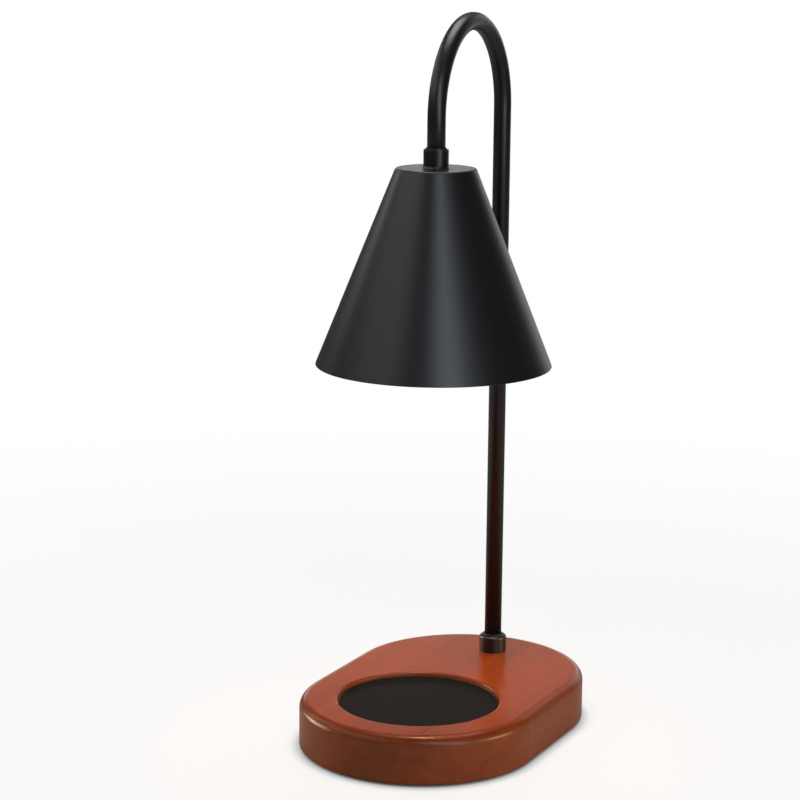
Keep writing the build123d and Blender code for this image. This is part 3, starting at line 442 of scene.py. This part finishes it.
above_rim = add_node(turned_tree, "ShaderNodeMath", {
    0: standing.outputs["Z"], 1: given["Rim Height"]}, operation="GREATER_THAN")
inside = add_node(turned_tree, "ShaderNodeMath", {
    0: looks_down.outputs[0], 1: above_rim.outputs[0]}, operation="MULTIPLY")
lined = add_node(turned_tree, "GeometryNodeSetMaterial", {
    "Geometry": coated.outputs[0], "Selection": inside.outputs[0],
    "Material": given["Inside Finish"]})
add_node(turned_tree, "NodeGroupOutput", {"Geometry": lined.outputs[0]})


def turn(name, outline, axis, segments, finish, inside_finish=None, rim_height=-1.0):
    """Turns a closed outline of (radius, height) points once round an upright axis."""
    hub = 1e-5  # radius of the circle that carries the outline, too small to see
    points = [(radius - hub, -height, 0) for radius, height in outline]
    edges = [(i, (i + 1) % len(points)) for i in range(len(points))]
    piece = grow(name, turned_tree, {
        "Segments": segments, "Hub": hub, "Rim Height": rim_height, "Finish": finish,
        "Inside Finish": inside_finish or finish}, points, edges)
    piece.data.transform(Matrix.Translation(axis))
    return piece


def rounded(corner, before, after, radius, steps=6):
    """Points of an arc that rounds a corner of an outline, with one more on each straight run.
    That one keeps the straight run's shading flat."""
    run = 0.3 * radius
    corner, before, after = Vector(corner), Vector(before), Vector(after)
    arrive, leave = (corner - before).normalized(), (after - corner).normalized()
    half = arrive.angle(leave) / 2
    cut = radius * math.tan(half)
    centre = corner + (leave - arrive).normalized() * radius / math.cos(half)
    start, end = corner - arrive * cut, corner + leave * cut
    first, last = (start - centre).normalized(), (end - centre).normalized()
    arc = [centre + first.slerp(last, i / steps) * radius for i in range(steps + 1)]
    return [tuple(point) for point in [start - arrive * run] + arc + [end + leave * run]]


slope = math.atan2(rim_radius - top_radius, shade_high.z - shade_low.z)
wall_across = shade_wall / math.cos(slope)
top_corner, rim_corner = (top_radius, shade_high.z), (rim_radius, shade_low.z)
inner_top = shade_high.z - shade_wall
inner_rim = (rim_radius - wall_across, shade_low.z)
inner_corner = (top_radius + shade_wall * math.tan(slope) - wall_across, inner_top)
shade_outline = (
    [(bore_radius, shade_high.z)]
    + rounded(top_corner, (0, shade_high.z), rim_corner, top_round)
    + rounded(rim_corner, top_corner, inner_rim, edge_round, 5)
    + rounded(inner_rim, rim_corner, inner_corner, edge_round, 4)
    + rounded(inner_corner, inner_rim, (0, inner_top), top_round - shade_wall + edge_round, 4)
    + [(bore_radius, inner_top)])
shade_segments, lining_start = 192, shade_low.z + 0.0004
shade = turn("cone_shade", shade_outline, shade_axis, shade_segments, black_powder, white_powder,
             lining_start)
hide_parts("shade")
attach(shade, "arm")

# ---------------------------------------------------------------- lampholder and its bridge
# Under the shade's top a washer, a folded steel bridge and a nut sit on the tube's thread. The
# bridge carries a pressed steatite lampholder by two screws, with sprung brass contacts.
dress(zinc_plate, "shade_washer", "holder_bracket", "bracket_nut", "holder_screws")
dress(turned_brass, "holder_contacts")

# Pressed steatite, fired without a glaze: a cream ceramic, a little cloudy and fine grained.
steatite_grain, steatite_patch = 0.0005, 0.006
made = start_material("pressed_steatite", {"Roughness": 0.55, "IOR": 1.6})
steatite = raise_grain(made, steatite_grain, 0.3, 0.00005, detail=3)
_, tree, shader, place = made
patch = add_node(tree, "ShaderNodeTexNoise", {"Vector": place, "Scale": 1 / steatite_patch, "Detail": 2})
tone = add_node(tree, "ShaderNodeValToRGB", {"Fac": patch.outputs["Fac"]})
tone.color_ramp.elements[0].color = linear("#DED8C9")
tone.color_ramp.elements[1].color = linear("#EEEADF")
tree.links.new(tone.outputs["Color"], shader.inputs["Base Color"])
dress(steatite, "lampholder", "bulb_cap")

# ---------------------------------------------------------------- reflector bulb
# A GU10 halogen bulb: nickel pins in a steatite cap, a pressed glass bowl with a faceted mirror
# coat, a clear front disc, and a quartz capsule whose coiled filament glows.

# Nickel plate over turned brass: a warm grey metal, glossy where the pins have rubbed.
rub_mark = 0.0004
nickel_plate = vary_gloss(start_material("nickel_plated_brass", {
    "Base Color": linear("#C9C5BC"), "Metallic": 1.0}), rub_mark, 0.14, 0.26)
dress(nickel_plate, "bulb_pins")

# Aluminised pressed glass: a bright cool mirror, slightly rippled by the mould under it.
glass_ripple = 0.003
mirror_coat = raise_grain(start_material("aluminised_pressed_glass", {
    "Base Color": linear("#D2D4D6"), "Metallic": 1.0, "Roughness": 0.16}),
    glass_ripple, 0.2, 0.0001, detail=1)

# Clear soda glass, fire polished: colourless and smooth, with a faint ripple in what it shows.
clear_glass = raise_grain(start_material("clear_soda_glass", {
    "Base Color": linear("#F6F8F8"), "Roughness": 0.02, "IOR": 1.5, "Transmission Weight": 1.0}),
    glass_ripple, 0.1, 0.00005)
dress(clear_glass, "bulb_front_glass", "bulb_capsule")

bulb_low, bulb_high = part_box("bulb_reflector")
bulb_radius, bulb_glass, neck_radius, capsule_radius = 0.025, 0.0016, 0.0096, 0.0046
lip_height, lip_step, seat_height, seat_step = 0.0036, 0.0008, 0.0024, 0.0012
shoulder_share, shoulder_drop = 0.8, 0.006  # where the bowl's curve is pulled to
neck_wall, capsule_gap = 0.0022, 0.0003


def bowl(start, pull, end, steps):
    """Points of a quadratic curve, the outline of a pressed bowl."""
    start, pull, end = Vector(start), Vector(pull), Vector(end)
    return [tuple(start * (1 - t) ** 2 + pull * 2 * t * (1 - t) + end * t * t)
            for t in (i / steps for i in range(steps + 1))]


disc_radius, shoulder_radius = bulb_radius - bulb_glass, shoulder_share * bulb_radius
outside = bowl((neck_radius, bulb_high.z), (shoulder_radius, bulb_high.z - shoulder_drop),
               (bulb_radius - lip_step, bulb_low.z + lip_height), 14)
mirror = bowl((disc_radius - seat_step, bulb_low.z + seat_height),
              (shoulder_radius - 1.4 * bulb_glass, bulb_high.z - shoulder_drop - bulb_glass),
              (neck_radius - neck_wall, bulb_high.z - bulb_glass), 9)
reflector_outline = (
    outside + [(bulb_radius, bulb_low.z + lip_height), (bulb_radius, bulb_low.z),
               (disc_radius, bulb_low.z), (disc_radius, bulb_low.z + seat_height)]
    + mirror + [(capsule_radius + capsule_gap, bulb_high.z - bulb_glass),
                (capsule_radius + capsule_gap, bulb_high.z)])
facets_round = 48
reflector = turn("faceted_reflector", reflector_outline, shade_axis, facets_round, mirror_coat)

# The mirror's faces look at the axis and stay flat, as its pressed facets are.
for face in reflector.data.polygons:
    spoke = face.center - shade_axis
    if face.normal.x * spoke.x + face.normal.y * spoke.y < 0:
        face.use_smooth = False
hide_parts("bulb_reflector")
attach(reflector, "bulb")

# Hot tungsten: the coil glows warm white, a little unevenly from turn to turn, and its two
# molybdenum posts stay dark.
hot_patch = 0.0012
hot_tungsten, tree, shader, place = start_material("hot_tungsten_wire", {
    "Base Color": linear("#8C8378"), "Metallic": 1.0, "Roughness": 0.4,
    "Emission Color": linear("#FFC98A")})
heat = add_node(tree, "ShaderNodeTexNoise", {"Vector": place, "Scale": 1 / hot_patch, "Detail": 1})
glow = add_node(tree, "ShaderNodeMapRange", {
    "Value": heat.outputs["Fac"], "From Min": 0.3, "From Max": 0.7, "To Min": 24, "To Max": 36})
tree.links.new(glow.outputs[0], shader.inputs["Emission Strength"])
molybdenum = vary_gloss(start_material("drawn_molybdenum_wire", {
    "Base Color": linear("#A7A5A3"), "Metallic": 1.0}), rub_mark, 0.25, 0.45)

coil_radius, coil_wire, coil_pitch, coil_length, coil_foot = 0.0009, 0.00014, 0.00045, 0.0055, 0.2725
coil_middle = shade_axis + Vector((0, 0, coil_foot))
filament = grow("bulb_filament", thread_tree, {
    "Shank Radius": coil_radius, "Ridge": coil_wire, "Pitch": coil_pitch, "Length": coil_length,
    "Finish": hot_tungsten}, [coil_middle])

# The long post runs down beside the coil to its lower end, and the short one leaves its upper end.
post_top, post_rise = Vector((0, 0, 0.2864)), Vector((0, 0, 0.0008))
coil_side, far_side, near_side = [Vector((x, 0, 0)) for x in (coil_radius, 0.0026, -0.00104)]
coil_head = coil_middle + Vector((0, 0, coil_length))
long_post = [coil_middle + coil_side, coil_middle + far_side, shade_axis + far_side + post_top]
short_post = [coil_head + coil_side, coil_head + near_side + post_rise,
              shade_axis + near_side + post_top]
posts = grow("filament_posts", tube_tree, {
    "Radius": 0.0002, "Sides": 10, "Bend Radius": 0.0004, "Bend Steps": 6, "Finish": molybdenum},
    long_post + short_post, [(0, 1), (1, 2), (3, 4), (4, 5)])
for piece in (filament, posts):
    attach(piece, "bulb")

# ---------------------------------------------------------------- studio
# Pale floor and background, and the camera. A softbox stands overhead, one leans before the lamp
# and one is at its left, and cards behind it and beside the base lift the edges. The warm disc
# under the bulb is the light that the bulb gives.
scene = bpy.context.scene
scene.view_settings.view_transform = "Standard"


def ray_shares(tree):
    """Light path outputs: 1 for rays that see the studio itself, and 1 for reflected ones."""
    path = add_node(tree, "ShaderNodeLightPath")
    seen = add_node(tree, "ShaderNodeMath", {
        0: path.outputs["Is Camera Ray"], 1: path.outputs["Is Transmission Ray"]}, operation="MAXIMUM")
    return seen.outputs[0], path.outputs["Is Glossy Ray"]


# The floor looks white far from the lamp and keeps its shadow near it. Reflections see little of
# it, so that the black finishes stay black, and its paint is duller to light that bounces.
floor_half, reflected_share, contact_shadow = 9, 0.05, 0.006
floor_mesh = bpy.data.meshes.new("floor")
floor_mesh.from_pydata([(x * floor_half, y * floor_half, 0) for x, y in (
    (-1, -1), (1, -1), (1, 1), (-1, 1))], [], [(0, 1, 2, 3)])
floor = bpy.data.objects.new("floor", floor_mesh)
scene.collection.objects.link(floor)
pale = bpy.data.materials.new("pale_floor")
pale.use_nodes = True
tree = pale.node_tree
tree.nodes.clear()
seen, reflected = ray_shares(tree)
away = add_node(tree, "ShaderNodeVectorMath", {
    0: add_node(tree, "ShaderNodeTexCoord").outputs["Object"]}, operation="LENGTH")
fade = add_node(tree, "ShaderNodeMapRange", {
    "Value": away.outputs["Value"], "From Min": 0.15, "From Max": 0.9, "To Min": 0.8, "To Max": 1.0},
    interpolation_type="SMOOTHSTEP")
whitened = add_node(tree, "ShaderNodeMath", {0: seen, 1: fade.outputs[0]}, operation="MULTIPLY")
share = add_node(tree, "ShaderNodeMath", {
    0: reflected, 1: reflected_share, 2: whitened.outputs[0]}, operation="MULTIPLY_ADD")
paint = add_node(tree, "ShaderNodeMix", {
    "Factor": seen, 6: linear("#9C9C9C"), 7: linear("#F4F4F4")}, data_type="RGBA")
matte = add_node(tree, "ShaderNodeBsdfDiffuse", {"Color": paint.outputs[2]})
# The glow dims by ambient occlusion within 6 mm of a solid: a painted contact shadow under the base's
# edge.
contact = add_node(tree, "ShaderNodeAmbientOcclusion", {"Distance": contact_shadow})
glow = add_node(tree, "ShaderNodeEmission", {
    "Color": (1, 1, 1, 1), "Strength": contact.outputs["AO"]})
mixed = add_node(tree, "ShaderNodeMixShader", {
    0: share.outputs[0], 1: matte.outputs[0], 2: glow.outputs[0]})
add_node(tree, "ShaderNodeOutputMaterial", {"Surface": mixed.outputs[0]})
floor_mesh.materials.append(pale)

# The backdrop is white to the camera and dim to the lamp, which only the lights below shine on.
world = bpy.data.worlds.new("studio")
scene.world = world
world.use_nodes = True
tree = world.node_tree
tree.nodes.clear()
seen, reflected = ray_shares(tree)
share = add_node(tree, "ShaderNodeMath", {
    0: reflected, 1: reflected_share, 2: seen}, operation="MULTIPLY_ADD")
room = add_node(tree, "ShaderNodeBackground", {"Color": (1, 1, 1, 1), "Strength": 0.04})
white = add_node(tree, "ShaderNodeBackground", {"Color": (1, 1, 1, 1), "Strength": 1.0})
mixed = add_node(tree, "ShaderNodeMixShader", {
    0: share.outputs[0], 1: room.outputs[0], 2: white.outputs[0]})
add_node(tree, "ShaderNodeOutputWorld", {"Surface": mixed.outputs[0]})


def soft_light(name, stand, target, size, power, colour="#FFFFFF", beam=180, lean=0):
    """An area light that the camera doesn't see, aimed at a point and leant on its own axis. A
    grid narrows its beam, in degrees."""
    light = bpy.data.lights.new(name, "AREA")
    light.energy, light.color, light.spread = power, linear(colour)[:3], math.radians(beam)
    light.shape, light.size, light.size_y = "RECTANGLE", *size
    lamp = bpy.data.objects.new(name, light)
    scene.collection.objects.link(lamp)
    lamp.location = stand
    lamp.rotation_mode = "QUATERNION"
    aim = (Vector(target) - stand).to_track_quat("-Z", "Y")
    lamp.rotation_quaternion = aim @ Quaternion((0, 0, 1), math.radians(lean))
    lamp.visible_camera = False
    return lamp


view_azimuth, view_pitch, view_roll = map(math.radians, (26.675, 11.822, 0.565))
view_distance, view_across, view_height, view_lens = 1.33407, -0.02693, 0.19457, 106.26


def around(azimuth, elevation, distance, height=0.2):
    """A point so far from the lamp's axis at a height, at an azimuth from the camera's and an
    elevation, both in degrees."""
    turned, raised = view_azimuth + math.radians(azimuth), math.radians(elevation)
    return Vector((math.sin(turned) * math.cos(raised), -math.cos(turned) * math.cos(raised),
                   math.sin(raised))) * distance + Vector((0, 0, height))


# Softboxes and strips give the black finishes their streaks. The gridded cards by the foot only
# reach the wood's sides, and the rear cards show in what faces away: deck, shade top and rims.
lamp_middle, lamp_foot = (0, 0, 0.3), (0, 0, 0.03)
soft_light("overhead_softbox", around(165, 74, 1.5), (0, 0, 0.1), (1.0, 1.0), 13)
soft_light("front_softbox", around(22, 0, 1.45, 0.76), (0, 0, 0.6), (0.46, 1.7), 9, "#E8F0FF", lean=38)
soft_light("left_softbox", around(-72, 0, 1.5, 1.35), (0, 0, 0.2), (2.3, 1.0), 6.8)
soft_light("left_rear_strip", around(-130, 26, 1.8), lamp_middle, (0.6, 0.9), 2.3)
soft_light("left_card", around(-115, 0, 0.5, 0.06), lamp_foot, (0.5, 0.1), 0.15, "#FFE2B8", beam=40)
soft_light("right_card", around(75, 0, 0.5, 0.06), lamp_foot, (0.5, 0.1), 0.135, "#FFDCA6", beam=40)
soft_light("rear_card", around(180, 0, 6, 0.85), lamp_middle, (4.2, 0.35), 25, "#FFFAF3")
soft_light("rear_right_card", around(149, 0, 1.5, 0.54), (0, 0, 0.54), (0.72, 1.05), 1.8)

# The bulb's own warm light leaves the middle of its front glass and turns with it.
bulb_front = shade_axis + Vector((0, 0, bulb_low.z - 0.0005))
bulb_light = soft_light("bulb_light", bulb_front, shade_axis, (0.044, 0.044), 0.165, "#FFBE7E",
                        beam=130)
bulb_light.data.shape = "DISK"
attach(bulb_light, "bulb")

# The camera has a long lens and stands before the lamp, a little to its right and above it.
camera_data = bpy.data.cameras.new("camera")
camera_data.lens, camera_data.sensor_width, camera_data.clip_start = view_lens, 36, 0.05
camera = bpy.data.objects.new("camera", camera_data)
scene.collection.objects.link(camera)
scene.camera = camera
back = Vector((math.sin(view_azimuth) * math.cos(view_pitch),
               -math.cos(view_azimuth) * math.cos(view_pitch), math.sin(view_pitch)))
right = Vector((math.cos(view_azimuth), math.sin(view_azimuth), 0))
above = back.cross(right)
rolled_right = right * math.cos(view_roll) + above * math.sin(view_roll)
rolled_above = above * math.cos(view_roll) - right * math.sin(view_roll)
tripod = Vector((0, 0, view_height)) + right * view_across + back * view_distance
camera.matrix_world = Matrix.Translation(tripod) @ Matrix(
    (rolled_right, rolled_above, back)).transposed().to_4x4()
